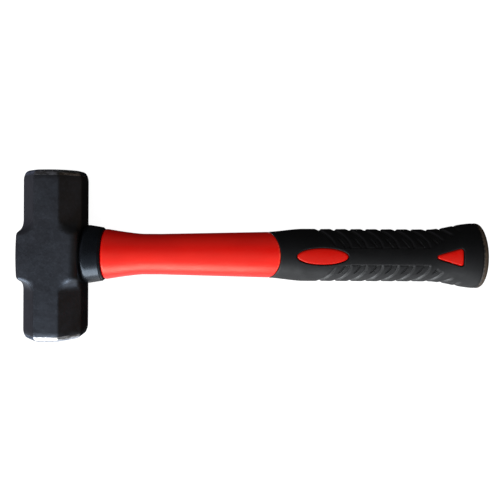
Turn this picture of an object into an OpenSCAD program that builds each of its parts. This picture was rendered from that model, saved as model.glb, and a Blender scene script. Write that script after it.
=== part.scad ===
// Lump hammer: forged steel head on a moulded fibreglass-cored handle.
// It lies on its side. +X runs along the handle from the head to the butt, +Y along the head
// from one striking face to the other, +Z up. The origin is the centre of the head's lower
// side flat, straight below the point where the head's axis and the handle's axis cross.

/* [Head] */
// Length over the crowns of the two striking faces
head_l = 111; // [100:1:125]
// Width across the flats of the octagonal polls
head_af = 38; // [36:0.5:42]
// Radius of the crown on each striking face
crown_r = 260; // [120:5:300]
// Length of the bevel round each striking face, measured along the head
bevel_l = 4.8; // [3:0.1:6]
// Depth of that bevel, measured square to the flats
bevel_d = 2.2; // [1.5:0.1:3]
// Small 45 degree chamfer between the bevel and the striking face
rim_chamfer = 0.9; // [0.5:0.1:1.2]
// Half length of the square block round the eye, where its corners are at full width
block_half_l = 15.5; // [14.5:0.5:17]
// Radius of the scoops that run from the block down to the octagonal polls
scoop_r = 8.5; // [7:0.5:10]
// How far the block stands out past the polls on the side away from the handle
block_proud = 1; // [0.6:0.1:1.6]
// Corner radius of the block on the side away from the handle
top_corner_r = 2.6; // [2:0.1:3.5]
// Corner radius of the block on the side that meets the handle
neck_corner_r = 5.4; // [4:0.1:6.5]

/* [Eye] */
// Eye width along the head, on the side away from the handle
eye_top_w = 27; // [25:0.5:28]
// Eye width along the head, on the handle side
eye_neck_w = 23; // [21:0.5:24]
// Eye depth divided by its width
eye_ratio = 0.8; // [0.75:0.01:0.84]
// How far the resin and the rod stop below the block's face
eye_recess = 0.8; // [0.4:0.1:1.5]

/* [Rod] */
// Diameter of the fibreglass rod
rod_d = 14; // [12:0.5:15]
// Where the rod ends inside the butt
rod_end_x = 268; // [255:1:272]

/* [Handle] */
// Handle depth divided by its width, the same all along
handle_ratio = 0.84; // [0.8:0.01:0.88]
// Where the collar ends and the jacket shows
collar_end_x = 32.5; // [28:0.5:33]
// Half width of the collar against the head
collar_head_h = 19.8; // [18.5:0.1:20.2]
// Half width of the collar at its other end
collar_end_h = 17.6; // [17.5:0.1:18.2]
// Half width of the jacket where it leaves the collar
neck_h = 16.9; // [16.5:0.05:17.3]
// Half width of the jacket at its waist
waist_h = 13.5; // [12.6:0.05:14]
// Length over which the jacket narrows from the collar to its waist
neck_taper_l = 25.5; // [20:0.5:28]
// Where the jacket starts to widen again towards the grip
waist_end_x = 70; // [62:1:80]

/* [Grip] */
// Where the rubber grip starts, at the edges of the handle
grip_start_x = 139.5; // [136:0.5:144]
// Half width of the grip at its front edge
grip_front_h = 15.25; // [14.9:0.05:15.4]
// Half width of the grip along its straight part
grip_h = 17.35; // [16.8:0.05:17.8]
// Where the grip reaches its full width
grip_full_x = 165; // [158:1:172]
// Where the grip starts to flare towards the butt
flare_start_x = 247; // [243:1:252]
// Where the flare is widest
flare_x = 278.5; // [276:0.5:280]
// Half width at the flare
flare_h = 21.5; // [20:0.1:22]
// Length of the rounded butt beyond the widest point
butt_l = 4.3; // [4:0.1:6]
// Depth of the curved cut-back in the grip's front edge, on both faces
scallop_l = 9.5; // [7:0.5:11]
// Thickness of the rubber over the jacket
rubber_t = 2.6; // [2.2:0.1:3]
// Centre of the lens-shaped window
lens_x = 175.9; // [174:0.1:178]
// Length of the lens-shaped window
lens_l = 33.3; // [28:0.1:36]
// Width of the lens-shaped window
lens_w = 11; // [9:0.1:12]
// Point of the three-cornered window, which faces the head
tri_x = 249.3; // [248:0.1:251]
// Length of the three-cornered window
tri_l = 16.3; // [14:0.1:18]
// Width of the three-cornered window at its base
tri_w = 11.3; // [9:0.1:12]
// Corner radius of the three-cornered window
tri_r = 1.6; // [1.2:0.1:2]
// How far the jacket's lands stay below the rubber round them
land_recess = 0.3; // [0.1:0.1:0.6]

/* [Hidden] */

// Assembly clearance between pieces that touch
gap = 0.05;
// Overlap that keeps cutters clear of the faces they cut
cut = 1;
// Fineness of every round surface
fine = 96;

half_l = head_l / 2;
half_af = head_af / 2;
axis_z = half_af;
block_top_x = -half_af - block_proud;
block_neck_x = half_af;
block_depth = block_neck_x - block_top_x;
// Small dip of the scoops below the polls, so that they cross them at an angle
scoop_dip = 0.1;
// Distance along the head from its centre to the lowest line of the scoops
scoop_x = block_half_l + scoop_r;
// Radius that runs the block's proud side out over the same length
side_scoop_r = (pow(scoop_r, 2) + pow(block_proud, 2)) / (2 * block_proud);
// Slope of the bevel, and length of the steeper rim beyond it
bevel_slope = bevel_d / bevel_l;
rim_l = rim_chamfer / (1 - bevel_slope);
// The jacket and the collar both start against the block
handle_start_x = block_neck_x + gap;
// Half width of the jacket's spigot inside the collar
spigot_h = 14.6;
butt_x = flare_x + butt_l;
// The jacket ends at the widest point of the flare, so the butt itself is solid rubber
jacket_end_x = flare_x;
eye_top_x = block_top_x + eye_recess;
// Half width of the jacket at the grip's front edge, where the rubber stands slightly proud
jacket_edge_h = grip_front_h - 0.15;
// Where the jacket starts to follow the flare, and the half width it keeps at its end
under_flare_x = flare_start_x + 10;
jacket_end_h = flare_h - 2 * rubber_t;
// Number of steps along each curved stretch of the handle's outline
steps = 12;

function smooth(t) = t * t * (3 - 2 * t);
function part_of(x, a, b) = min(1, max(0, (x - a) / (b - a)));

// Half width of the bare jacket, from the collar to where the grip starts
neck_ease = 1.3;
widen_rate = (jacket_edge_h - waist_h) / (grip_start_x - waist_end_x);
function jacket_h(x) =
    waist_h
    + (neck_h - waist_h) * pow(1 - part_of(x, collar_end_x, collar_end_x + neck_taper_l), neck_ease)
    + widen_rate * max(0, min(x, grip_start_x) - waist_end_x);

// Half width of the grip's outside, up to its widest point
function grip_out_h(x) =
    grip_front_h
    + (grip_h - grip_front_h) * smooth(part_of(x, grip_start_x, grip_full_x))
    + (flare_h - grip_h) * smooth(part_of(x, flare_start_x, flare_x));

// Half width of the butt, u running from 0 at the widest point to 1 at its end. The power of
// the superellipse sets how flat the end is.
butt_power = 3;
function butt_h(u) = flare_h * pow(1 - pow(u, butt_power), 1 / butt_power);

function span(a, b, n) = [for (i = [0 : n]) a + (b - a) * i / n];

// Outline points are [half width, distance along the handle]
jacket_free = [
    for (x = concat(span(collar_end_x, collar_end_x + neck_taper_l, steps), [waist_end_x, grip_start_x]))
        [jacket_h(x), x]
];
grip_outer = concat(
    [for (x = span(grip_start_x, grip_full_x, steps)) [grip_out_h(x), x]],
    [for (x = span(flare_start_x, flare_x, steps)) [grip_out_h(x), x]],
    [for (i = [1 : steps]) [butt_h(sin(90 * i / steps)), flare_x + butt_l * sin(90 * i / steps)]]
);

// Turns an outline of [half width, x] points about the handle's axis and flattens it to an oval.
// The upper and lower halves are turned separately and meet at the widest line.
module oval_solid(outline, ratio) {
    translate([0, 0, axis_z])
        for (start = [-90, 90])
            scale([1, 1, ratio])
                rotate([0, 90, 0])
                    rotate([0, 0, start])
                        rotate_extrude(angle = 180, $fn = fine)
                            polygon(outline);
}

module handle_oval(outline) {
    oval_solid(outline, handle_ratio);
}

// ---- Head ----

// Square block outline across the head, with its own corner radius on each side
module block_section() {
    difference() {
        translate([block_top_x, -half_af])
            square([block_depth, head_af]);
        for (side = [-1, 1]) {
            corner_cut(block_top_x, side * half_af, 1, -side, top_corner_r);
            corner_cut(block_neck_x, side * half_af, -1, -side, neck_corner_r);
        }
    }
}

// Rounds the corner at [x, y]; dx and dy point from the corner into the block
module corner_cut(x, y, dx, dy, r) {
    difference() {
        translate([x + dx * (r - cut) / 2, y + dy * (r - cut) / 2])
            square(r + cut, center = true);
        translate([x + dx * r, y + dy * r])
            circle(r = r, $fn = fine);
    }
}

// Half of the bevelled outline of the head along its length, on the side of sign side:
// [distance along the head, distance from the axis] from one end to the other
function bevelled_edge(side, level) =
    let (rim = [half_l + cut, half_af - bevel_d - rim_chamfer - cut])
    let (knee = [half_l - rim_l, half_af - bevel_d + bevel_slope * rim_l])
    let (shoulder = [half_l - bevel_l - (level - half_af) / bevel_slope, level])
    [for (p = [rim, knee, shoulder]) [p[0], side * p[1]],
     for (p = [shoulder, knee, rim]) [-p[0], side * p[1]]];

function backwards(list) = [for (i = [len(list) - 1 : -1 : 0]) list[i]];

// Outline of the head along its length, drawn with the striking axis along X. A scooped side
// widens at the middle and runs out to the polls by scoops of radius r. A free side stands
// clear of the bar and only makes its bevels.
module side_outline(scooped, r, free) {
    function level(side) = len(search(side, free)) > 0 ? half_af + cut : half_af;
    polygon(concat(bevelled_edge(1, level(1)), backwards(bevelled_edge(-1, level(-1)))));
    for (side = scooped)
        difference() {
            translate([-scoop_x, side > 0 ? 0 : -head_af])
                square([2 * scoop_x, head_af]);
            for (end = [-1, 1])
                translate([end * scoop_x, side * (half_af + r - scoop_dip)])
                    circle(r = r, $fn = fine);
        }
}

// Bar whose outline, seen square to the head and turned about its axis, is a side_outline
module outline_bar(turn, scooped, r, free) {
    rotate([0, turn - 90, 0])
        rotate([0, 0, 90])
            linear_extrude(4 * head_af, center = true)
                side_outline(scooped, r, free);
}

// Tapered oval plug through the block; grow widens it all round
module eye_plug(grow, from_x, to_x) {
    slope = (eye_neck_w - eye_top_w) / block_depth;
    function half_at(x) = (eye_top_w + slope * (x - block_top_x)) / 2 + grow;
    oval_solid([[0, from_x], [half_at(from_x), from_x], [half_at(to_x), to_x], [0, to_x]], eye_ratio);
}

// Large ball whose surface is the crown at one end of the head
module crown_ball(side) {
    translate([0, side * (half_l - crown_r), 0])
        sphere(r = crown_r, $fn = fine);
}

// Forged bar with both polls, scoops, bevels and crowns, before the eye is made
module head_blank() {
    intersection() {
        rotate([90, 0, 0])
            linear_extrude(head_l + cut, center = true)
                block_section();
        crown_ball(-1);
        crown_ball(1);
        outline_bar(0, [], 0, [-1, 1]);
        outline_bar(90, [1], side_scoop_r, [-1]);
        corner_bar();
    }
}

// The two diagonal outlines together
module corner_bar() {
    intersection() {
        outline_bar(45, [-1, 1], scoop_r, []);
        outline_bar(135, [-1, 1], scoop_r, []);
    }
}

module head() {
    color([0.13, 0.14, 0.16])
        difference() {
            translate([0, 0, axis_z])
                head_blank();
            eye_plug(gap, block_top_x - cut, block_neck_x + cut);
        }
}

// ---- Inside the eye and the handle ----

module core_rod() {
    color([0.86, 0.78, 0.45])
        translate([eye_top_x, 0, axis_z])
            rotate([0, 90, 0])
                cylinder(d = rod_d, h = rod_end_x - eye_top_x, $fn = fine);
}

// Straight round bore for the rod; it starts well outside the piece it cuts
module rod_bore(to_x) {
    translate([block_top_x - cut, 0, axis_z])
        rotate([0, 90, 0])
            cylinder(d = rod_d + 2 * gap, h = to_x - block_top_x + cut, $fn = fine);
}

module eye_resin() {
    color([0.75, 0.62, 0.30])
        difference() {
            eye_plug(0, eye_top_x, block_neck_x);
            rod_bore(collar_end_x);
        }
}

// ---- Handle ----

module neck_collar() {
    edge = 0.6;
    color([0.07, 0.07, 0.08])
        difference() {
            handle_oval([
                [0, handle_start_x],
                [collar_head_h - edge, handle_start_x],
                [collar_head_h, handle_start_x + edge],
                [collar_end_h, collar_end_x - edge],
                [collar_end_h - edge / 2, collar_end_x],
                [0, collar_end_x]
            ]);
            handle_oval([
                [0, handle_start_x - cut],
                [spigot_h + gap, handle_start_x - cut],
                [spigot_h + gap, collar_end_x + cut],
                [0, collar_end_x + cut]
            ]);
        }
}

// Lens-shaped and three-cornered openings through the grip; shrink pulls their edges inward
module window_prisms(shrink) {
    translate([0, 0, -cut])
        linear_extrude(head_af + 2 * cut) {
            translate([lens_x, 0])
                scale([1, (lens_w - 2 * shrink) / (lens_l - 2 * shrink)])
                    circle(d = lens_l - 2 * shrink, $fn = fine);
            rounded_triangle(tri_x + shrink, tri_l - 2 * shrink, tri_w - 2 * shrink, tri_r);
        }
}

// Triangle with its point at x and its base at x + l, with rounded corners
module rounded_triangle(x, l, w, r) {
    tip = [x + r, 0];
    base_x = x + l - r;
    base_y = w / 2 - r;
    slant = atan2(base_y, base_x - tip[0]);
    side_x = -r * sin(slant);
    side_y = r * cos(slant);
    polygon([
        [tip[0] + side_x, side_y],
        [base_x + side_x, base_y + side_y],
        [base_x + r, base_y],
        [base_x + r, -base_y],
        [base_x + side_x, -base_y - side_y],
        [tip[0] + side_x, -side_y]
    ]);
    for (p = [tip, [base_x, base_y], [base_x, -base_y]])
        translate(p)
            circle(r = r, $fn = fine);
}

// The grip's outside, drawn inward by inset
module grip_body(inset) {
    handle_oval(concat(
        [[0, grip_start_x]],
        [for (p = grip_outer) if (p[0] > inset + cut) [p[0] - inset, p[1]]],
        [[0, butt_x - max(inset, 0)]]
    ));
}

// The jacket's outline under the grip
function under_grip(grow) = concat(
    [[grip_front_h - rubber_t + grow, grip_start_x + 2 * rubber_t]],
    [for (x = [grip_full_x, flare_start_x]) [grip_h - rubber_t + grow, x]],
    [for (x = span(under_flare_x, flare_x, steps / 4)) [grip_out_h(x) - rubber_t + grow, x]],
    [[jacket_end_h + grow, jacket_end_x + grow]]
);

// Full-width end of the bare jacket, which fills the cut-back in the grip's front edge
module front_land() {
    land_end_x = grip_start_x + scallop_l;
    intersection() {
        handle_oval([
            [0, grip_start_x],
            [jacket_edge_h, grip_start_x],
            [jacket_edge_h, land_end_x],
            [0, land_end_x]
        ]);
        front_scallop(gap);
    }
}

module handle_jacket() {
    color([0.80, 0.07, 0.05])
        difference() {
            union() {
                handle_oval(concat(
                    [[0, handle_start_x], [spigot_h, handle_start_x], [spigot_h, collar_end_x + gap]],
                    [for (p = jacket_free) [p[0], max(p[1], collar_end_x + gap)]],
                    under_grip(0),
                    [[0, jacket_end_x]]
                ));
                intersection() {
                    grip_body(land_recess);
                    window_prisms(gap);
                }
                front_land();
            }
            rod_bore(rod_end_x);
        }
}

module grip_sleeve() {
    color([0.10, 0.10, 0.10])
        difference() {
            grip_body(0);
            handle_oval(concat(
                [[0, grip_start_x - cut], [jacket_edge_h + gap, grip_start_x - cut]],
                [[jacket_edge_h + gap, grip_start_x + gap]],
                under_grip(gap),
                [[0, jacket_end_x + gap]]
            ));
            window_prisms(0);
            front_scallop(0);
        }
}

// Rounded cut-back of the grip's front edge, the same on both faces; shrink pulls it inward
module front_scallop(shrink) {
    // Its widest line is just beyond the grip's sides, so that it opens the whole front edge
    half_w = grip_front_h + 0.5 - shrink;
    translate([grip_start_x - cut, 0, -cut])
        linear_extrude(head_af + 2 * cut)
            scale([(scallop_l + cut - shrink) / half_w, 1])
                circle(r = half_w, $fn = fine);
}

head();
core_rod();
eye_resin();
neck_collar();
handle_jacket();
grip_sleeve();
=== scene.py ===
"""Looks of the lump hammer: fine meshes for every visible piece, their materials, light and camera."""

import math
from functools import partial
from typing import Callable, NamedTuple

import bpy
import numpy as np
from mathutils import Matrix, Vector


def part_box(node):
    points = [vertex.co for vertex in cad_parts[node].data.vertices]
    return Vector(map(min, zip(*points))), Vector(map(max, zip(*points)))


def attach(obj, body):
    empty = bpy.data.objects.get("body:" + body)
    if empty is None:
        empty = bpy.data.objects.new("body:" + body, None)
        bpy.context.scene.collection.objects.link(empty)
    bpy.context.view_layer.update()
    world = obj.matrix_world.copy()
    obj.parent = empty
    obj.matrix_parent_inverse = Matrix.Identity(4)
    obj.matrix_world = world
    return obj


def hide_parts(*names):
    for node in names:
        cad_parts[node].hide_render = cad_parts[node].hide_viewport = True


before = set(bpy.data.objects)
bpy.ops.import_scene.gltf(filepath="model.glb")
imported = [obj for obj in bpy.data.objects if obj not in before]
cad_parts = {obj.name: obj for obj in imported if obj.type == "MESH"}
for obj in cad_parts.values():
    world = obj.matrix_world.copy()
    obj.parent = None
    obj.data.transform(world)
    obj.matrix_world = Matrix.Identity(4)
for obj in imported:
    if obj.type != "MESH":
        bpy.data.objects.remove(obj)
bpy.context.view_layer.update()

MM = 0.001
TINY = 1e-6


# ---------------------------------------------------------------- sizes, in millimetres

def node_box(name):
    low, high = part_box(name)
    return np.array(low) / MM, np.array(high) / MM


head_lo, head_hi = node_box("head")
resin_lo, resin_hi = node_box("eye_resin")
rod_lo, rod_hi = node_box("core_rod")
collar_lo, collar_hi = node_box("neck_collar")
jacket_lo, jacket_hi = node_box("handle_jacket")
grip_lo, grip_hi = node_box("grip_sleeve")

# How far a fine face stays inside the CAD face that it stands for
SHY = 0.02
# Assembly clearance between pieces that touch
FIT = 0.05

# Taken from the boxes of the CAD nodes
HEAD_HALF_L = head_hi[1]
AXIS_Z = (head_hi[2] + head_lo[2]) / 2
HEAD_FLAT = AXIS_Z - head_lo[2] - SHY / 2
BLOCK_TOP = head_lo[0]
BLOCK_NECK = head_hi[0]
ROD_R = (rod_hi[2] - rod_lo[2]) / 2
COLLAR_END = collar_hi[0]
COLLAR_H = collar_hi[1]
JACKET_END = jacket_hi[0]
GRIP_END = grip_hi[0]
FLARE_H = grip_hi[1]

# Head: bevels and how far the grinding reaches along them, crowns, block, scoops and corners
BEVEL_L, BEVEL_D = 4.8, 2.1
GROUND_L = 4.0
CROWN_R = 260.0
SIDE_CROWN = 0.6
BLOCK_PROUD = -BLOCK_TOP - HEAD_FLAT
BLOCK_HALF_L, SCOOP_R = 15.5, 8.4
TOP_CORNER_R, NECK_CORNER_R = 2.6, 5.4

# Head: how far its edges are rounded off
BEVEL_EDGE_R, BEVEL_CORNER_R, RIM_EDGE_R = 1.0, 0.8, 2.0
BLOCK_EDGE_R, POLL_EDGE_R, PROUD_EDGE_R = 3.0, 0.7, 1.2

# Eye: widths along the head, depth as a share of them, and the chamfers at its rims
EYE_TOP_W, EYE_NECK_W, EYE_RATIO = 27.0, 23.0, 0.8
EYE_CHAMFER, EYE_CHAMFER_SLOPE, EYE_EDGE_R = 0.6, 0.8, 0.3

# Handle: half widths along it; its depth is this ratio of its width
RATIO = 0.84
COLLAR_END_H, SPIGOT_H = 17.6, 14.6
NECK_H, WAIST_H, NECK_TAPER, NECK_EASE, WAIST_END = 16.9, 13.5, 25.5, 1.3, 70.0
GRIP_START, GRIP_FRONT_H, GRIP_H, GRIP_FULL = 139.5, 15.25, 17.35, 165.0
FLARE_FROM = 247.0
BUTT_L, BUTT_POWER = 4.3, 3
FLARE_X = GRIP_END - BUTT_L
RUBBER_T = 2.6
SCALLOP_L = 9.5
JACKET_EDGE_H = GRIP_FRONT_H - 0.15
LAND_RECESS = 0.15

# Windows in the grip, and the gap between their edges and the lands of the jacket
LENS_X, LENS_L, LENS_W = 175.9, 33.3, 11.0
TRI_X, TRI_L, TRI_W, TRI_R = 249.3, 16.3, 11.3, 1.6
LAND_GAP = 0.16

# Relief of the grip, drawn in plan: leaves that sweep back from the spine to the edges
PITCH, FIRST_NOTCH, SWEEP = 10.16, 173.1, 10.0
SPINE_HALF = 5.5
LEAF_W = GRIP_H - SPINE_HALF
# Where the pattern starts and ends beside the spine, and how much further each way it runs at the edges
FIELD_START, START_SLANT = FIRST_NOTCH + 13.0, 14.5
FIELD_END, END_SLANT = 246.0, 21.0
# Main grooves: widths of the steep side, of the long slope and of its shine, and depth at the spine and
# how much deeper they get further out
STEEP_W, SLOPE_W, SHINE_W = 0.5, 1.9, 2.1
GROOVE_DEPTH, DEEPER_OUT = 0.85, 0.2
# Forks: short straight grooves that cut small facets off the leaves beside the spine
FORK_LAG, FORK_SLANT, FORK_NARROW = 2.6, 0.75, 0.8
FORK_W, FORK_DEPTH, FORK_REACH, FORK_END = 0.8, 0.75, 4.0, 6.5
FACET_DEPTH, FACET_L = 0.25, 3.2
LEAF_CROWN = 0.10
# Fine line along each side of the spine, between the two windows
BORDER_W, BORDER_DEPTH = 0.5, 0.22
BORDER_FROM, BORDER_TO, BORDER_FADE = 192.0, 247.0, 4.0

# Mouldings: how far their edges are rounded off
COLLAR_HEAD_R, COLLAR_FREE_R = 4.0, 1.4
JACKET_NECK_R, JACKET_FRONT_R, LAND_EDGE_R = 2.0, 0.4, 1.3
GRIP_FRONT_R, WINDOW_EDGE_R, BUTT_EDGE_R = 0.7, 0.8, 0.5

# Collar: depth of the step near its free end, and how far from that end it starts and ends
STEP_DEPTH, STEP_FROM, STEP_TO = 0.45, 1.5, 1.1

# Butt: the moulding seam round it, and rings on its end as (radius, half width, share of the depth)
SEAM_DEPTH, SEAM_W = 0.32, 0.7
END_RINGS = [(11.5, 1.0, 1.0), (7.5, 0.8, 0.7), (0.0, 2.2, 1.0)]
RING_DEPTH = 0.40

# Distances to oval, tapered and slanted faces run ahead of the true ones; these shares hold them back
OVAL_EASE, TAPER_EASE, SLANT_EASE = 0.95, 0.9, 0.8

# Camera: place in millimetres, roll in degrees, focal length and shift as shares of the picture's width
CAMERA_AT = (129.0, 28.0, 366.2)
CAMERA_ROLL = 0.27
CAMERA_FOCAL, CAMERA_SHIFT = 1.04, -0.0748
SENSOR_MM = 36.0


# ---------------------------------------------------------------- small shape functions

def smooth(t):
    """Rises from 0 to 1 as t does, level at both ends."""
    t = np.clip(t, 0.0, 1.0)
    return t * t * (3 - 2 * t)


def part_of(x, a, b):
    """How far x has gone from a to b, from 0 to 1."""
    return np.clip((x - a) / (b - a), 0.0, 1.0)


def smax(a, b, r):
    """Largest of two distances, with the edge between them rounded to about r."""
    h = np.maximum(r - np.abs(a - b), 0.0) / r
    return np.maximum(a, b) + h * h * r * 0.25


def groove(distance, half_width):
    """1 on a groove's centre line, falling smoothly to 0 at its half width."""
    return 1.0 - smooth(np.abs(distance) / half_width)


# ---------------------------------------------------------------- closed solids from distance functions
# A shape is a function of x, y and z in millimetres. It gives roughly the distance outside the surface,
# and less than 0 inside.

# Corners of a grid cell, numbered so that bit i of the number is the corner's place along axis i
CORNERS = [(n & 1, n >> 1 & 1, n >> 2 & 1) for n in range(8)]
EDGES = [(n, n | bit) for bit in (1, 2, 4) for n in range(8) if not n & bit]


def sample_grid(shape, low, high, cell):
    """Values of a shape on a grid that runs past its box all round, worked out slab by slab along X."""
    axes = [np.arange(low[i] - 1.5 * cell, high[i] + 2.5 * cell, cell) for i in range(3)]
    y, z = np.meshgrid(axes[1], axes[2], indexing="ij")
    values = np.empty((len(axes[0]), len(axes[1]), len(axes[2])), np.float32)
    slab = 16
    for start in range(0, len(axes[0]), slab):
        xs = axes[0][start:start + slab]
        x = xs[:, None, None] + np.zeros_like(y)[None]
        values[start:start + slab] = shape(x, y[None] + 0 * x, z[None] + 0 * x)
    return axes, values


def fill_pinches(values):
    """Where only two opposite corners of a grid square are inside, the surface would touch itself there.
    The outside corner nearest to the surface is taken in, until no such square is left."""
    just_inside = -1e-4
    pinched = True
    while pinched:
        pinched = False
        for axis in range(3):
            grid = np.moveaxis(values, axis, 0)
            inside = grid < 0
            a, b = inside[:, :-1, :-1], inside[:, 1:, :-1]
            c, d = inside[:, :-1, 1:], inside[:, 1:, 1:]
            for i, j, k in np.argwhere((a == d) & (b == c) & (a != b)):
                square = grid[i, j:j + 2, k:k + 2]
                outside = np.where(square < 0, np.inf, square)
                square[np.unravel_index(outside.argmin(), square.shape)] = just_inside
                pinched = True


def surface_nets(values, axes, cell):
    """One vertex in each grid cell that the surface crosses, and a quad across each crossed edge."""
    inside = values < 0
    n = np.array(values.shape) - 1
    count = np.zeros(n, np.int8)
    for c in CORNERS:
        count += inside[c[0]:c[0] + n[0], c[1]:c[1] + n[1], c[2]:c[2] + n[2]]
    active = (count > 0) & (count < 8)
    cells = np.argwhere(active)
    number = np.full(n, -1, np.int32)
    number[active] = np.arange(len(cells))
    total = np.zeros((len(cells), 3))
    crossings = np.zeros(len(cells))
    for a, b in EDGES:
        ca, cb = np.array(CORNERS[a]), np.array(CORNERS[b])
        va = values[tuple((cells + ca).T)].astype(float)
        vb = values[tuple((cells + cb).T)].astype(float)
        crossed = (va < 0) != (vb < 0)
        t = np.where(crossed, va / np.where(crossed, va - vb, 1.0), 0.0)
        total += np.where(crossed[:, None], ca + t[:, None] * (cb - ca), 0.0)
        crossings += crossed
    origin = np.array([a[0] for a in axes])
    points = origin + cell * (cells + total / crossings[:, None])
    quads = []
    for axis in range(3):
        e1, e2 = (axis + 1) % 3, (axis + 2) % 3
        near = [slice(1, -1)] * 3
        far = [slice(1, -1)] * 3
        near[axis], far[axis] = slice(0, -1), slice(1, None)
        start, end = inside[tuple(near)], inside[tuple(far)]
        at = np.argwhere(start != end)
        outward = start[start != end]
        offset = np.ones(3, int)
        offset[axis] = 0
        at = at + offset
        step1, step2 = np.eye(3, dtype=int)[e1], np.eye(3, dtype=int)[e2]
        ring = [at - step1 - step2, at - step2, at, at - step1]
        ids = np.stack([number[tuple(r.T)] for r in ring], 1)
        quads.append(np.where(outward[:, None], ids, ids[:, ::-1]))
    return points, np.concatenate(quads)


def gradient(shape, p, step=0.02):
    """How fast the shape's value grows along each axis, at each point."""
    g = np.empty_like(p)
    for i in range(3):
        d = np.zeros(3)
        d[i] = step
        g[:, i] = (shape(*(p + d).T) - shape(*(p - d).T)) / (2 * step)
    return g


def settle(shape, p, reach, rounds=4):
    """Moves points onto the surface along the gradient, no further than reach a round."""
    flattest = 0.05
    for _ in range(rounds):
        g = gradient(shape, p)
        size = np.maximum((g * g).sum(1), flattest)
        move = -(shape(*p.T) / size)[:, None] * g
        length = np.linalg.norm(move, axis=1, keepdims=True)
        p = p + move * np.minimum(1.0, reach / np.maximum(length, TINY))
    return p


def mesh_object(name, points, faces, normals=None):
    """A closed mesh in metres from points in millimetres, smooth shaded."""
    mesh = bpy.data.meshes.new(name)
    mesh.from_pydata((points * MM).tolist(), [], faces.tolist())
    mesh.polygons.foreach_set("use_smooth", [True] * len(mesh.polygons))
    if normals is not None:
        mesh.normals_split_custom_set_from_vertices(normals.tolist())
    obj = bpy.data.objects.new(name, mesh)
    bpy.context.scene.collection.objects.link(obj)
    return obj


def thin_out(points, faces, ratio):
    """Collapses the mesh to a share of its faces, mostly where it is flat."""
    obj = mesh_object("thinning", points, faces)
    modifier = obj.modifiers.new("thin", "DECIMATE")
    modifier.ratio = ratio
    graph = bpy.context.evaluated_depsgraph_get()
    mesh = bpy.data.meshes.new_from_object(obj.evaluated_get(graph))
    points = points_of(mesh)
    mesh.calc_loop_triangles()
    tris = np.empty(len(mesh.loop_triangles) * 3, np.int32)
    mesh.loop_triangles.foreach_get("vertices", tris)
    bpy.data.objects.remove(obj)
    bpy.data.meshes.remove(mesh)
    return points, tris.reshape(-1, 3)


def solid(name, shape, low, high, cell, ratio=1.0):
    """Builds a closed mesh of a distance function, with normals from the function itself."""
    axes, values = sample_grid(shape, low, high, cell)
    fill_pinches(values)
    points, faces = surface_nets(values, axes, cell)
    points = settle(shape, points, cell * 0.5)
    if ratio < 1.0:
        points, faces = thin_out(points, faces, ratio)
        points = settle(shape, points, cell * 0.25, 2)
    g = gradient(shape, points)
    normals = g / np.maximum(np.linalg.norm(g, axis=1, keepdims=True), TINY)
    piece = mesh_object(name, points, faces, normals)
    store(piece, "ridge", ridge(shape, points, normals))
    return piece


def ridge(shape, points, normals, depth=0.8):
    """Above 0 on outer edges, below 0 in grooves, 0 where the surface is flat."""
    below = -shape(*(points - depth * normals).T) / depth
    above = shape(*(points + depth * normals).T) / depth
    return (above - below) / np.maximum(above + below, 0.5)


def store(piece, name, values):
    """Keeps one number for each point of a piece, for its material to read."""
    attribute = piece.data.attributes.new(name, "FLOAT", "POINT")
    attribute.data.foreach_set("value", np.asarray(values, np.float32))


def points_of(mesh):
    """Points of a mesh, in millimetres."""
    co = np.empty(len(mesh.vertices) * 3)
    mesh.vertices.foreach_get("co", co)
    return co.reshape(-1, 3) / MM


# ---------------------------------------------------------------- head

def bevel(along, d):
    """Distance outside the bevel that one flat of a poll has at its end."""
    slope = BEVEL_D / BEVEL_L
    return ((d - HEAD_FLAT) + slope * (along - (HEAD_HALF_L - BEVEL_L))) / math.hypot(1.0, slope)


def scooped_side(along, d, r):
    """Distance outside a side that is wide at the middle and scooped down to the polls."""
    run = along - (BLOCK_HALF_L + SCOOP_R)
    hollow = r - np.hypot(run, d - (HEAD_FLAT + r))
    return smax(np.where(run < 0, hollow, d - HEAD_FLAT), bevel(along, d), BEVEL_EDGE_R)


def corner_cut(x, z, side, r, shy=0.0):
    """Distance outside a rounded corner of the block, on the side of sign side along X.
    The side itself lies shy millimetres inside its widest place."""
    edge = BLOCK_TOP if side < 0 else BLOCK_NECK
    dx = side * (x - edge) + r + shy
    dz = np.abs(z) - HEAD_FLAT + r
    outside = np.hypot(np.maximum(dx, 0), np.maximum(dz, 0))
    return outside + np.minimum(np.maximum(dx, dz), 0) - r


def eye_width(x):
    """Width of the eye along the head, for each place on the way through it."""
    return EYE_TOP_W + (EYE_NECK_W - EYE_TOP_W) * part_of(x, BLOCK_TOP, BLOCK_NECK)


def eye_hole(x, y, z):
    """Distance inside the tapered oval eye, with its rims broken by a small chamfer."""
    half = eye_width(x) / 2
    rim = np.maximum(x - (BLOCK_NECK - EYE_CHAMFER), (BLOCK_TOP + EYE_CHAMFER) - x)
    q = np.hypot(y, z / EYE_RATIO)
    return (q - half - np.maximum(rim, 0) * EYE_CHAMFER_SLOPE) * TAPER_EASE


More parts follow.
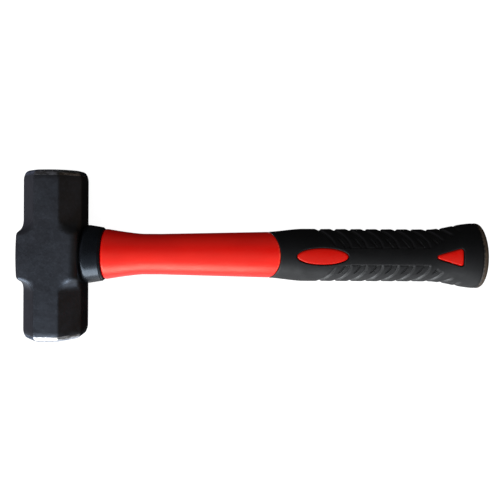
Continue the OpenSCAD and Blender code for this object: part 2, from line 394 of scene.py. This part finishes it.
def head_shape(x, y, z):
    z = z - AXIS_Z
    along = np.abs(y)
    shy = SIDE_CROWN * np.minimum((along / BLOCK_HALF_L) ** 2, 1.0)
    section = np.maximum(corner_cut(x, z, -1, TOP_CORNER_R, shy), corner_cut(x, z, 1, NECK_CORNER_R))
    bevels = smax(bevel(along, np.abs(z)), bevel(along, x), BEVEL_CORNER_R)
    proud_r = (SCOOP_R ** 2 + BLOCK_PROUD ** 2) / (2 * BLOCK_PROUD)
    proud_side = scooped_side(along, -x, proud_r)
    diagonals = scooped_side(along, (np.abs(x) + np.abs(z)) / math.sqrt(2), SCOOP_R)
    body = smax(section, bevels, BEVEL_EDGE_R)
    # the long edges are soft on the block and sharp on the polls
    near_block = 1 - smooth(part_of(along, BLOCK_HALF_L + 1.0, BLOCK_HALF_L + SCOOP_R))
    edge_r = POLL_EDGE_R + (BLOCK_EDGE_R - POLL_EDGE_R) * near_block
    body = smax(smax(body, proud_side, PROUD_EDGE_R), diagonals, edge_r)
    crown = np.sqrt(x * x + z * z + (along - (HEAD_HALF_L - CROWN_R)) ** 2) - CROWN_R
    body = smax(body, crown, RIM_EDGE_R)
    return smax(body, -eye_hole(x, y, z), EYE_EDGE_R)


# ---------------------------------------------------------------- handle

def jacket_half(x):
    """Half width of the bare jacket between the collar and the grip."""
    neck = (NECK_H - WAIST_H) * (1 - part_of(x, COLLAR_END, COLLAR_END + NECK_TAPER)) ** NECK_EASE
    rate = (JACKET_EDGE_H - WAIST_H) / (GRIP_START - WAIST_END)
    return WAIST_H + neck + rate * np.maximum(0, np.minimum(x, GRIP_START) - WAIST_END)


def grip_half(x):
    """Half width of the grip's outside, without its pattern."""
    wide = GRIP_FRONT_H + (GRIP_H - GRIP_FRONT_H) * smooth(part_of(x, GRIP_START, GRIP_FULL))
    wide = wide + (FLARE_H - GRIP_H) * smooth(part_of(x, FLARE_FROM, FLARE_X))
    u = np.clip((x - FLARE_X) / BUTT_L, 0, 1)
    return wide * (1 - u ** BUTT_POWER) ** (1 / BUTT_POWER)


def oval(y, z):
    return np.hypot(y, z / RATIO)


def lens_distance(x, y):
    """Rough distance outside the lens outline."""
    a, b = LENS_L / 2, LENS_W / 2
    q = np.hypot((x - LENS_X) / a, y / b)
    slope = np.hypot((x - LENS_X) / (a * a), y / (b * b)) / np.maximum(q, TINY)
    return (q - 1.0) / np.maximum(slope, TINY)


def triangle_distance(x, y):
    """Distance outside the three-cornered outline, whose point faces the head."""
    long = TRI_L - 2 * TRI_R
    half = TRI_W / 2 - TRI_R
    length = math.hypot(long, half)
    # places from the tip's centre, folded onto one side of the handle's axis
    u, v = x - (TRI_X + TRI_R), np.abs(y)
    # nearest point on the slanted side and on the base
    t = np.clip((u * long + v * half) / length ** 2, 0, 1)
    to_side = np.hypot(u - t * long, v - t * half)
    to_base = np.hypot(u - long, v - np.clip(v, 0, half))
    outside = np.minimum(to_side, to_base)
    inside = np.maximum((v * long - u * half) / length, u - long)
    return np.where(inside < 0, np.maximum(inside, -outside), outside) - TRI_R


def window_distance(x, y):
    return np.minimum(lens_distance(x, y), triangle_distance(x, y))


def leaf_place(x, y):
    """Where a place is in the pattern. Gives how far it is from the spine towards the edge, as a share;
    how far it is past the nearest main groove, along the handle and square to the groove; and how fully
    the pattern shows there."""
    out = np.clip((np.abs(y) - SPINE_HALF) / LEAF_W, 0.0, 1.0)
    start = FIELD_START - START_SLANT * out
    end = FIELD_END + END_SLANT * out
    field = smooth(part_of(x, start - 1.0, start + 1.0)) * (1 - smooth(part_of(x, end - 3.0, end + 1.0)))
    field = field * smooth(part_of(np.abs(y), SPINE_HALF - 0.3, SPINE_HALF + 0.6))
    phase = past_nearest(x - FIRST_NOTCH - SWEEP * (1 - out ** 2))
    return out, phase, phase / np.hypot(1.0, 2 * SWEEP * out / LEAF_W), field


def past_nearest(lead):
    """How far a place is past the nearest of the grooves that repeat with the pattern's pitch."""
    return np.mod(lead + PITCH / 2, PITCH) - PITCH / 2


def leaf_slope(x, y):
    """1 on the long slope at the start of each leaf, which is moulded smoother than the rest."""
    out, phase, across, field = leaf_place(x, y)
    return np.where(phase < 0, 0.0, groove(across, SHINE_W)) * field * smooth(part_of(out, 0.3, 0.9))


def grip_relief(x, y):
    """Height of the rubber's pattern, in millimetres: grooves cut below the plain surface."""
    out, phase, across, field = leaf_place(x, y)
    from_spine = np.abs(y) - SPINE_HALF
    # main grooves, one for each notch in the silhouette
    main = np.where(phase < 0, groove(across, STEEP_W), groove(across, SLOPE_W))
    main = main * (GROOVE_DEPTH + DEEPER_OUT * out)
    fork_phase = past_nearest(x - FIRST_NOTCH - SWEEP + FORK_LAG + FORK_SLANT * from_spine)
    fork_zone = 1 - smooth(part_of(from_spine, FORK_REACH, FORK_END))
    fork = groove(fork_phase * FORK_NARROW, FORK_W) * fork_zone * FORK_DEPTH
    # the small facet between a fork and its main groove is sunk a little
    facet = smooth(part_of(fork_phase, 0.0, 1.0)) * (1 - smooth(part_of(phase, -0.6, 0.0))) * fork_zone
    facet = facet * (phase > -FACET_L) * FACET_DEPTH
    # each leaf is crowned a little between its grooves
    crown = LEAF_CROWN * (2 * phase / PITCH) ** 2
    starting = smooth(part_of(x, BORDER_FROM, BORDER_FROM + BORDER_FADE))
    ending = smooth(part_of(x, BORDER_TO - BORDER_FADE, BORDER_TO))
    border = groove(from_spine, BORDER_W) * BORDER_DEPTH * starting * (1 - ending)
    return -field * (np.maximum(np.maximum(main, fork), facet) + crown) - border


def front_edge_x(y):
    """Where the grip's curved front edge is, for each place across the handle."""
    across = np.minimum(np.abs(y) / (GRIP_FRONT_H + 0.5), 1.0)
    return GRIP_START - 1.0 + (SCALLOP_L + 1.0) * np.sqrt(1.0 - across ** 2)


def under_grip(x):
    """Half width of the jacket where the grip covers it."""
    lag = 4.0
    body = GRIP_FRONT_H + (GRIP_H - GRIP_FRONT_H) * part_of(x, GRIP_START + 2 * RUBBER_T, GRIP_FULL)
    flare = (FLARE_H - GRIP_H) * smooth(part_of(x, FLARE_FROM + lag, FLARE_X + lag))
    return body + flare - RUBBER_T


def grip_shape(x, y, z):
    z = z - AXIS_Z
    q = oval(y, z)
    seam = SEAM_DEPTH * groove(x - (FLARE_X - 1.0), SEAM_W)
    side = (q - grip_half(x) - grip_relief(x, y) + seam) * TAPER_EASE
    outer = smax(side, x - (GRIP_END - SHY), BUTT_EDGE_R)
    at_end = smooth(part_of(x, GRIP_END - 1.8, GRIP_END - 0.9))
    outer = outer + RING_DEPTH * end_rings(q) * at_end
    inner = np.maximum(q - under_grip(x) - FIT, x - (JACKET_END + FIT))
    sleeve = smax(outer, -window_distance(x, y), WINDOW_EDGE_R)
    sleeve = smax(sleeve, (front_edge_x(y) + FIT - x) * SLANT_EASE, GRIP_FRONT_R)
    return np.maximum(sleeve, -inner)


def end_rings(q):
    """Moulded rings on the end of the butt, and the dimple in its middle, from 0 to 1."""
    rings = 0 * q
    for radius, half_width, share in END_RINGS:
        rings = np.maximum(rings, share * groove(q - radius, half_width))
    return rings


def jacket_shape(x, y, z):
    z = z - AXIS_Z
    q = oval(y, z)
    bare_end = (x - (front_edge_x(y) - FIT)) * SLANT_EASE
    bare = smax(q - jacket_half(x), bare_end, JACKET_FRONT_R)
    covered = smax(q - under_grip(x), x - JACKET_END, JACKET_NECK_R)
    beyond_collar = COLLAR_END + FIT - x
    body = smax(np.minimum(bare, covered), beyond_collar, JACKET_NECK_R)
    # the spigot inside the collar runs a little way into the body, so that the two are one
    overlap = 2.0
    spigot = np.maximum(q - SPIGOT_H, x - (COLLAR_END + overlap))
    body = np.minimum(body, np.maximum(spigot, BLOCK_NECK + FIT - x))
    land_top = (q - (grip_half(x) - LAND_RECESS)) * OVAL_EASE
    lands = smax(land_top, window_distance(x, y) + LAND_GAP, LAND_EDGE_R)
    body = np.minimum(body, np.maximum(lands, x - JACKET_END))
    bore = np.maximum(np.hypot(y, z) - (ROD_R + FIT), x - (rod_hi[0] + FIT))
    return np.maximum(body, -bore)


def collar_shape(x, y, z):
    z = z - AXIS_Z
    half = COLLAR_H + (COLLAR_END_H - COLLAR_H) * part_of(x, BLOCK_NECK, COLLAR_END)
    half = half - STEP_DEPTH * smooth(part_of(x, COLLAR_END - STEP_FROM, COLLAR_END - STEP_TO))
    body = smax((oval(y, z) - half) * OVAL_EASE, x - (COLLAR_END - SHY), COLLAR_FREE_R)
    body = smax(body, (BLOCK_NECK + FIT + SHY / 2) - x, COLLAR_HEAD_R)
    return np.maximum(body, -(oval(y, z) - (SPIGOT_H + FIT)))


# ---------------------------------------------------------------- pieces at the eye

def resin_shape(x, y, z):
    """Tapered plug with a sunken middle: the resin has crept up the steel and the rod."""
    rim_depth, sunk, creep_l = 0.55, 0.75, 1.6
    z = z - AXIS_Z
    q = np.hypot(y, z / EYE_RATIO)
    wall = (q - eye_width(x) / 2) * TAPER_EASE
    rod = np.hypot(y, z) - ROD_R
    middle = smooth(np.clip(np.minimum(-wall, rod) / creep_l, 0, 1))
    ripple = 0.08 * np.sin(0.9 * y + 0.5) * np.cos(1.1 * z)
    top = (BLOCK_TOP + rim_depth + (sunk + ripple) * middle) - x
    plug = np.maximum(np.maximum(wall + SHY, top), x - (BLOCK_NECK - SHY))
    return np.maximum(plug, -(rod - SHY))


def rod_shape(x, y, z):
    """Fibreglass rod with a sawn end: faint saw marks and a broken edge."""
    end_depth, edge_r = 0.95, 0.5
    z = z - AXIS_Z
    # the saw ran across the end at about 20 degrees to Y
    stroke = 0.94 * y + 0.34 * z
    saw = 0.05 * np.sin(2.4 * stroke) + 0.03 * np.sin(6.1 * stroke + 1.0)
    end = (BLOCK_TOP + end_depth + saw) - x
    body = smax(np.hypot(y, z) - (ROD_R - SHY / 2), end, edge_r)
    return smax(body, x - rod_hi[0], edge_r)


# ---------------------------------------------------------------- materials

# Soft noise from 0 to 1 mostly stays between these
COMMON_NOISE = (0.3, 0.7)


def feed(tree, socket, value):
    """Links a socket to another, or gives it a plain value. None leaves it as it is."""
    if value is None:
        return
    if isinstance(value, bpy.types.NodeSocket):
        tree.links.new(value, socket)
    else:
        socket.default_value = value


def add_node(tree, kind, *values, **settings):
    """Adds a node; values go to its inputs in order."""
    made = tree.nodes.new(kind)
    for name, value in settings.items():
        setattr(made, name, value)
    for socket, value in zip(made.inputs, values):
        feed(tree, socket, value)
    return made


class Paint:
    """A material, and short ways to add nodes to it. Places are in millimetres in the hammer's frame."""

    def __init__(self, name):
        self.material = bpy.data.materials.new(name)
        self.material.use_nodes = True
        self.tree = self.material.node_tree
        self.surface = self.tree.nodes["Principled BSDF"]
        coords = self.tree.nodes.new("ShaderNodeTexCoord").outputs["Object"]
        self.place = self.vector("MULTIPLY", coords, (1 / MM,) * 3)
        split = self.node("ShaderNodeSeparateXYZ", self.place)
        self.x, self.y, self.z = split.outputs

    def node(self, kind, *values, **settings):
        return add_node(self.tree, kind, *values, **settings)

    def feed(self, socket, value):
        feed(self.tree, socket, value)

    def math(self, operation, *values):
        return self.node("ShaderNodeMath", *values, operation=operation).outputs[0]

    def vector(self, operation, *values):
        return self.node("ShaderNodeVectorMath", *values, operation=operation).outputs[0]

    def stretch(self, x, y, z):
        return self.vector("MULTIPLY", self.place, (x, y, z))

    def noise(self, size, detail=3.0, rough=0.5, place=None, twist=0.0):
        """Soft noise from 0 to 1 with features about size millimetres across."""
        made = self.node("ShaderNodeTexNoise")
        settings = {"Scale": 1.0 / size, "Detail": detail, "Roughness": rough, "Distortion": twist}
        for name, value in settings.items():
            made.inputs[name].default_value = value
        self.feed(made.inputs["Vector"], place or self.place)
        return made.outputs[0]

    def cells(self, size, place=None):
        """Distance from the middles of cells about size millimetres across."""
        made = self.node("ShaderNodeTexVoronoi")
        made.inputs["Scale"].default_value = 1.0 / size
        self.feed(made.inputs["Vector"], place or self.place)
        return made.outputs[0]

    def span(self, value, low, high, at_low=0.0, at_high=1.0):
        """Carries value from the range low..high to at_low..at_high, smoothly and clipped."""
        return self.node("ShaderNodeMapRange", value, low, high, at_low, at_high,
                         interpolation_type="SMOOTHSTEP").outputs[0]

    def vary(self, noise, at_low=0.0, at_high=1.0):
        """Carries the range that a noise mostly keeps to onto at_low..at_high."""
        return self.span(noise, *COMMON_NOISE, at_low, at_high)

    def between(self, kind, share, a, b):
        """From a to b as share goes from 0 to 1. The node keeps its sockets for every kind of value in one
        list, so those of this kind are found by their type."""
        made = self.node("ShaderNodeMix", share, data_type=kind)
        places = [socket for socket in made.inputs if socket.enabled][1:]
        for socket, value in zip(places, (a, b)):
            self.feed(socket, value)
        return next(socket for socket in made.outputs if socket.enabled)

    def blend(self, share, a, b):
        """Colour a, going to colour b as share goes from 0 to 1."""
        return self.between("RGBA", share, colour(a), colour(b))

    def mix(self, share, a, b):
        """Number a, going to number b as share goes from 0 to 1."""
        return self.between("FLOAT", share, a, b)

    def stored(self, name):
        """A number kept for each point of the piece."""
        return self.node("ShaderNodeAttribute", attribute_name=name).outputs["Fac"]

    def bump(self, height, depth, under=None):
        """Relief of height times depth millimetres, laid over the relief under it."""
        made = self.node("ShaderNodeBump")
        made.inputs["Strength"].default_value = 1.0
        made.inputs["Distance"].default_value = depth * MM
        self.feed(made.inputs["Height"], height)
        self.feed(made.inputs["Normal"], under)
        return made.outputs[0]

    def finish(self, **inputs):
        for name, value in inputs.items():
            self.feed(self.surface.inputs[name.replace("_", " ")], value)
        return self.material


def colour(value):
    """A colour's three numbers with its opacity added; a socket is left as it is."""
    if isinstance(value, tuple) and len(value) == 3:
        return value + (1.0,)
    return value


def steel_paint():
    """Forged head: blackened skin, with ground bevels and striking faces left bright."""
    p = Paint("blackened_steel")
    along = p.math("ABSOLUTE", p.y)
    ragged = p.math("ADD", along, p.vary(p.noise(2.5), -0.12, 0.12))
    ground = p.span(ragged, HEAD_HALF_L - GROUND_L - 0.15, HEAD_HALF_L - GROUND_L + 0.15)
    # blackened skin
    broad, fine = p.noise(14.0), p.noise(1.6, 5.0, 0.6)
    skin = p.blend(p.span(broad, 0.35, 0.65), (0.0085, 0.0072, 0.0062), (0.0120, 0.0108, 0.0105))
    skin = p.blend(p.span(fine, 0.45, 0.75, 0.0, 0.2), skin, (0.04, 0.04, 0.045))
    worn = p.span(p.math("ADD", p.stored("ridge"), p.vary(fine, -0.12, 0.12)), 0.34, 0.62)
    skin = p.blend(p.math("MULTIPLY", worn, 0.35), skin, (0.22, 0.22, 0.23))
    skin_rough = p.vary(p.noise(5.0, 4.0), 0.34, 0.46)
    # ground steel: fine scratches round the bevels and across the faces
    scratches = p.noise(0.6, 4.0, 0.6, p.stretch(0.15, 2.2, 0.15))
    dull = p.noise(3.0, 4.0, 0.6, p.stretch(0.6, 1.6, 0.6))
    bright = p.blend(p.vary(scratches), (0.26, 0.27, 0.29), (0.66, 0.66, 0.67))
    bright = p.blend(p.span(dull, 0.42, 0.62, 0.0, 0.8), bright, (0.11, 0.10, 0.09))
    bright_rough = p.vary(scratches, 0.18, 0.34)
    # relief
    pits = p.bump(p.cells(2.2), 0.03)
    grain = p.bump(p.noise(0.7, 4.0, 0.65), 0.025, pits)
    hammered = p.bump(p.noise(9.0, 2.0), 0.22, grain)
    lines = p.bump(scratches, 0.02)
    return p.finish(
        Base_Color=p.blend(ground, skin, bright),
        Metallic=p.mix(ground, 0.1, 1.0),
        Specular_IOR_Level=p.mix(ground, 1.0, 0.5),
        Specular_Tint=(0.64, 0.78, 1.0, 1.0),
        Roughness=p.mix(ground, skin_rough, bright_rough),
        Normal=p.between("VECTOR", ground, hammered, lines),
    )


def jacket_paint():
    """Red moulded polypropylene with a fine spark-eroded texture, painted highlights on its rounded edges
    and painted shade on the lands in the grip's windows.
    """
    p = Paint("red_polypropylene")
    broad = p.noise(22.0, 2.0, 0.5, p.stretch(0.45, 1.0, 1.0))
    red = p.blend(p.vary(broad), (0.70, 0.003, 0.0015), (0.80, 0.005, 0.002))
    # painted highlight: the rounded edges are lightened towards pale red
    pale = p.span(p.stored("ridge"), 0.10, 0.45)
    red = p.blend(p.math("MULTIPLY", pale, 0.5), red, (0.95, 0.16, 0.08))
    scuff = p.noise(1.1, 5.0, 0.7, p.stretch(0.12, 1.0, 1.0))
    red = p.blend(p.span(scuff, 0.68, 0.80, 0.0, 0.10), red, (0.90, 0.14, 0.08))
    # painted shade: past the grip's front, the lands in its windows are darkened to a deeper red, standing
    # in for the light that falls off along the handle; they also shine less
    land_from, land_by = 152.0, 156.0
    red = p.blend(p.span(p.x, land_from, land_by, 0.0, 0.6), red, (0.40, 0.003, 0.001))
    texture = p.bump(p.noise(0.45, 3.0, 0.6), 0.03)
    flow = p.bump(p.noise(26.0, 1.0, 0.5, p.stretch(0.3, 1.0, 1.0)), 0.25, texture)
    return p.finish(
        Base_Color=red,
        Roughness=p.vary(p.noise(4.0, 3.0, 0.5, p.stretch(0.4, 1.0, 1.0)), 0.28, 0.36),
        Specular_IOR_Level=p.span(p.x, land_from, land_by, 0.36, 0.22),
        Specular_Tint=(1.0, 0.95, 0.70, 1.0),
        Normal=flow,
    )


def collar_paint():
    """Black moulded collar, smoother than the grip, duller along its lower side, with painted highlights
    on its rounded edges.
    """
    p = Paint("black_moulded_plastic")
    broad = p.noise(7.0, 3.0)
    black = p.blend(p.vary(broad), (0.0022, 0.0024, 0.0030), (0.0040, 0.0044, 0.0056))
    # painted highlight: the rounded edges are lightened towards grey
    black = p.blend(p.span(p.stored("ridge"), 0.15, 0.5, 0.0, 0.4), black, (0.06, 0.06, 0.065))
    texture = p.bump(p.noise(0.8, 2.0), 0.004)
    return p.finish(
        Base_Color=black,
        Specular_IOR_Level=p.span(p.y, -16.8, -15.0, 0.12, 0.45),
        Specular_Tint=(0.70, 0.84, 1.0, 1.0),
        Roughness=p.vary(p.noise(2.0, 4.0), 0.20, 0.28),
        Normal=p.bump(p.noise(12.0, 2.0), 0.10, texture),
    )


def rubber_paint():
    """Black thermoplastic rubber: matt, speckled, dusty in the grooves and polished on the ridges, with
    painted highlights lightening the ridges and a painted warm reflection tinting the end of the butt.
    """
    p = Paint("black_rubber")
    speckle = p.noise(0.7, 4.0, 0.65)
    black = p.blend(p.vary(speckle), (0.0015, 0.0015, 0.0016), (0.0035, 0.0035, 0.0036))
    edge, slope = p.stored("ridge"), p.stored("slope")
    # painted highlight: the ridges are lightened towards grey
    black = p.blend(p.span(edge, 0.05, 0.4, 0.0, 0.5), black, (0.014, 0.014, 0.014))
    dust = p.math("MULTIPLY", p.span(edge, -0.05, -0.4), p.span(p.noise(6.0), 0.4, 0.7, 0.1, 0.5))
    black = p.blend(dust, black, (0.010, 0.0095, 0.008))
    # painted warm reflection: from its seam on, the end of the butt is tinted tan in patches, where its
    # rounded edge catches warm light
    ragged = p.math("ADD", p.x, p.vary(p.noise(2.0), -0.4, 0.4))
    patchy = p.vary(p.noise(4.0, 4.0), 0.7, 1.0)
    painted_warm_reflection = p.math("MULTIPLY", p.span(ragged, FLARE_X - 1.0, FLARE_X + 0.2), patchy)
    black = p.blend(painted_warm_reflection, black, (0.058, 0.041, 0.027))
    texture = p.bump(p.noise(0.35, 3.0, 0.6), 0.03)
    rough = p.vary(p.noise(9.0, 3.0), 0.46, 0.60)
    rough = p.math("SUBTRACT", rough, p.span(edge, 0.0, 0.3, 0.0, 0.14))
    return p.finish(
        Base_Color=black,
        Roughness=p.mix(slope, rough, 0.34),
        Specular_IOR_Level=p.mix(slope, 0.32, 0.75),
        Normal=p.bump(speckle, 0.02, texture),
    )


def resin_paint():
    """Amber epoxy with a few trapped bubbles."""
    p = Paint("amber_epoxy")
    cloud = p.noise(5.0, 4.0, 0.6, None, 0.6)
    amber = p.blend(p.vary(cloud), (0.20, 0.105, 0.03), (0.42, 0.25, 0.08))
    bubble = p.span(p.cells(2.6), 0.10, 0.16, 1.0, 0.0)
    amber = p.blend(p.math("MULTIPLY", bubble, 0.6), amber, (0.75, 0.60, 0.36))
    return p.finish(
        Base_Color=amber,
        Roughness=p.vary(cloud, 0.10, 0.22),
        Coat_Weight=0.5,
        Normal=p.bump(bubble, 0.08, p.bump(cloud, 0.15)),
    )


def fibre_paint():
    """Sawn end of the rod: bundles of glass in resin, with the saw's lines across them."""
    p = Paint("fibreglass")
    strands = p.cells(0.55, p.stretch(0.02, 1.0, 1.0))
    bundles = p.noise(2.4, 3.0, 0.6, p.stretch(0.03, 1.0, 1.0))
    glass = p.blend(p.vary(bundles), (0.50, 0.40, 0.17), (0.76, 0.70, 0.44))
    glass = p.blend(p.span(strands, 0.25, 0.45), glass, (0.38, 0.27, 0.10))
    return p.finish(
        Base_Color=glass,
        Roughness=p.span(strands, 0.1, 0.5, 0.32, 0.55),
        Normal=p.bump(strands, 0.05),
    )


# ---------------------------------------------------------------- the pieces

class Job(NamedTuple):
    """How one piece is made: its name, its shape and the box round it, the size of its grid's cells in
    millimetres, the share of the faces that is kept, its slot in the record, which is not used, and its
    material."""
    piece: str
    shape: Callable
    box: tuple
    cell: float
    kept: float
    slot: str
    paint: Callable


JOBS = {
    "head": Job("forged_head", head_shape, (head_lo, head_hi), 0.42, 0.76, "head_steel", steel_paint),
    "neck_collar": Job("fine_neck_collar", collar_shape, (collar_lo, collar_hi), 0.36, 1.0,
                       "collar_plastic", collar_paint),
    "handle_jacket": Job("fine_handle_jacket", jacket_shape, (jacket_lo, jacket_hi), 0.6, 0.7,
                         "jacket_plastic", jacket_paint),
    "grip_sleeve": Job("fine_grip_sleeve", grip_shape, (grip_lo, grip_hi), 0.42, 0.47,
                       "grip_rubber", rubber_paint),
    "eye_resin": Job("fine_eye_resin", resin_shape, (resin_lo, resin_hi), 0.5, 1.0,
                     "resin", resin_paint),
    "core_rod": Job("fine_core_rod", rod_shape, (rod_lo, rod_hi), 0.6, 0.3,
                    "fibreglass", fibre_paint),
}


def build_pieces():
    pieces = {}
    for node, job in JOBS.items():
        piece = solid(job.piece, job.shape, *job.box, job.cell, job.kept)
        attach(piece, "root")
        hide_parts(node)
        piece.data.materials.append(job.paint())
        pieces[node] = piece
    sleeve = pieces["grip_sleeve"]
    x, y, z = points_of(sleeve.data).T
    store(sleeve, "slope", leaf_slope(x, y))
    return pieces


# ---------------------------------------------------------------- floor, light and camera

def add_floor():
    """Wide pale floor. Only the camera sees it, so the hammer's sides stay as dark as in a light tent."""
    half, drop = 3.0, 0.0004
    mesh = bpy.data.meshes.new("floor")
    corners = [(-half, -half, 0), (half, -half, 0), (half, half, 0), (-half, half, 0)]
    mesh.from_pydata(corners, [], [(0, 1, 2, 3)])
    floor = bpy.data.objects.new("floor", mesh)
    bpy.context.scene.collection.objects.link(floor)
    floor.location.z = -drop
    floor.visible_diffuse = False
    floor.visible_glossy = False
    p = Paint("pale_floor")
    grain = p.noise(400.0, 2.0)
    tone = p.blend(grain, (0.20, 0.20, 0.20), (0.22, 0.22, 0.22))
    mesh.materials.append(p.finish(
        Base_Color=tone,
        Roughness=0.9,
        Specular_IOR_Level=0.0,
        Emission_Color=(1.0, 1.0, 1.0, 1.0),
        Emission_Strength=0.96,
    ))


# Broad glows of the surroundings: (towards, starts at, full at, colour, strength).
# The two numbers are cosines of the angle between a direction and the glow's middle.
GLOWS = [
    ((0.0, 0.0, 1.0), 0.0, 1.0, (0.85, 0.92, 1.00), 0.025),
    ((0.0, -0.7, 0.7), 0.55, 1.0, (0.85, 0.90, 1.00), 0.45),
    ((-1.0, 0.0, 0.1), 0.1, 1.0, (0.88, 0.84, 1.00), 0.20),
    ((-0.15, -0.95, -0.1), 0.45, 0.95, (0.95, 0.98, 1.02), 1.5),
    ((1.0, 0.0, 0.0), 0.5, 1.0, (1.00, 0.62, 0.36), 0.09),
    ((0.0, 0.9, 0.3), 0.2, 1.0, (0.95, 1.00, 1.00), 0.04),
]
AMBIENT = 0.008

# Softboxes: name, place, what it faces, width, height, power, colour, and whether it shows in reflections.
# Places and sizes are in metres. The low one draws the bright bands, and the fills light the red evenly.
MIDDLE = (0.13, 0.0, 0.02)
SOFTBOXES = [
    ("low_softbox", (-0.30, -0.80, 0.36), (0.08, 0.0, 0.02), 1.0, 0.55, 11.5, (0.93, 0.97, 1.0), True),
    ("high_fill", (-0.12, -0.25, 0.90), MIDDLE, 1.0, 1.0, 5.4, (1.0, 1.0, 1.0), False),
    ("far_fill", (0.10, 0.70, 0.50), MIDDLE, 0.8, 0.8, 0.9, (1.0, 1.0, 1.0), False),
]


def add_surroundings():
    """Plain pale surroundings for the camera, and the light tent's glows for everything else."""
    world = bpy.data.worlds.new("light_tent")
    world.use_nodes = True
    tree = world.node_tree
    tree.nodes.clear()
    add = partial(add_node, tree)
    towards = add("ShaderNodeTexCoord").outputs["Generated"]
    total = (AMBIENT, AMBIENT, AMBIENT)
    for axis, low, high, tint, strength in GLOWS:
        unit = Vector(axis).normalized()
        aim = add("ShaderNodeVectorMath", towards, tuple(unit), operation="DOT_PRODUCT").outputs["Value"]
        share = add("ShaderNodeMapRange", aim, low, high, 0.0, strength,
                    interpolation_type="SMOOTHSTEP").outputs[0]
        glow = add("ShaderNodeVectorMath", tint, operation="SCALE")
        tree.links.new(share, glow.inputs["Scale"])
        total = add("ShaderNodeVectorMath", total, glow.outputs[0], operation="ADD").outputs[0]
    lit = add("ShaderNodeBackground", total, 1.0)
    plain = add("ShaderNodeBackground", (1.0, 1.0, 1.0, 1.0), 1.0)
    seen = add("ShaderNodeLightPath").outputs["Is Camera Ray"]
    both = add("ShaderNodeMixShader", seen, lit.outputs[0], plain.outputs[0])
    add("ShaderNodeOutputWorld", both.outputs[0])
    bpy.context.scene.world = world


def add_softbox(name, place, aim, width, height, power, tint, mirrored):
    lamp = bpy.data.lights.new(name, "AREA")
    lamp.shape = "RECTANGLE"
    lamp.size, lamp.size_y = width, height
    lamp.energy = power
    lamp.color = tint
    box = bpy.data.objects.new(name, lamp)
    bpy.context.scene.collection.objects.link(box)
    box.location = place
    box.rotation_euler = (Vector(aim) - Vector(place)).to_track_quat("-Z", "Y").to_euler()
    box.visible_glossy = mirrored


def add_camera():
    """Looks straight down from about 0.35 m above a place beside the handle. The shift recentres it."""
    lens = bpy.data.cameras.new("camera")
    lens.sensor_width = SENSOR_MM
    lens.lens = CAMERA_FOCAL * SENSOR_MM
    lens.shift_y = CAMERA_SHIFT
    camera = bpy.data.objects.new("camera", lens)
    bpy.context.scene.collection.objects.link(camera)
    roll = Matrix.Rotation(math.radians(CAMERA_ROLL), 4, "Z")
    camera.matrix_world = Matrix.Translation(Vector(CAMERA_AT) * MM) @ roll
    bpy.context.scene.camera = camera


pieces = build_pieces()
add_floor()
add_surroundings()
for softbox in SOFTBOXES:
    add_softbox(*softbox)
add_camera()
bpy.context.scene.view_settings.view_transform = "Standard"
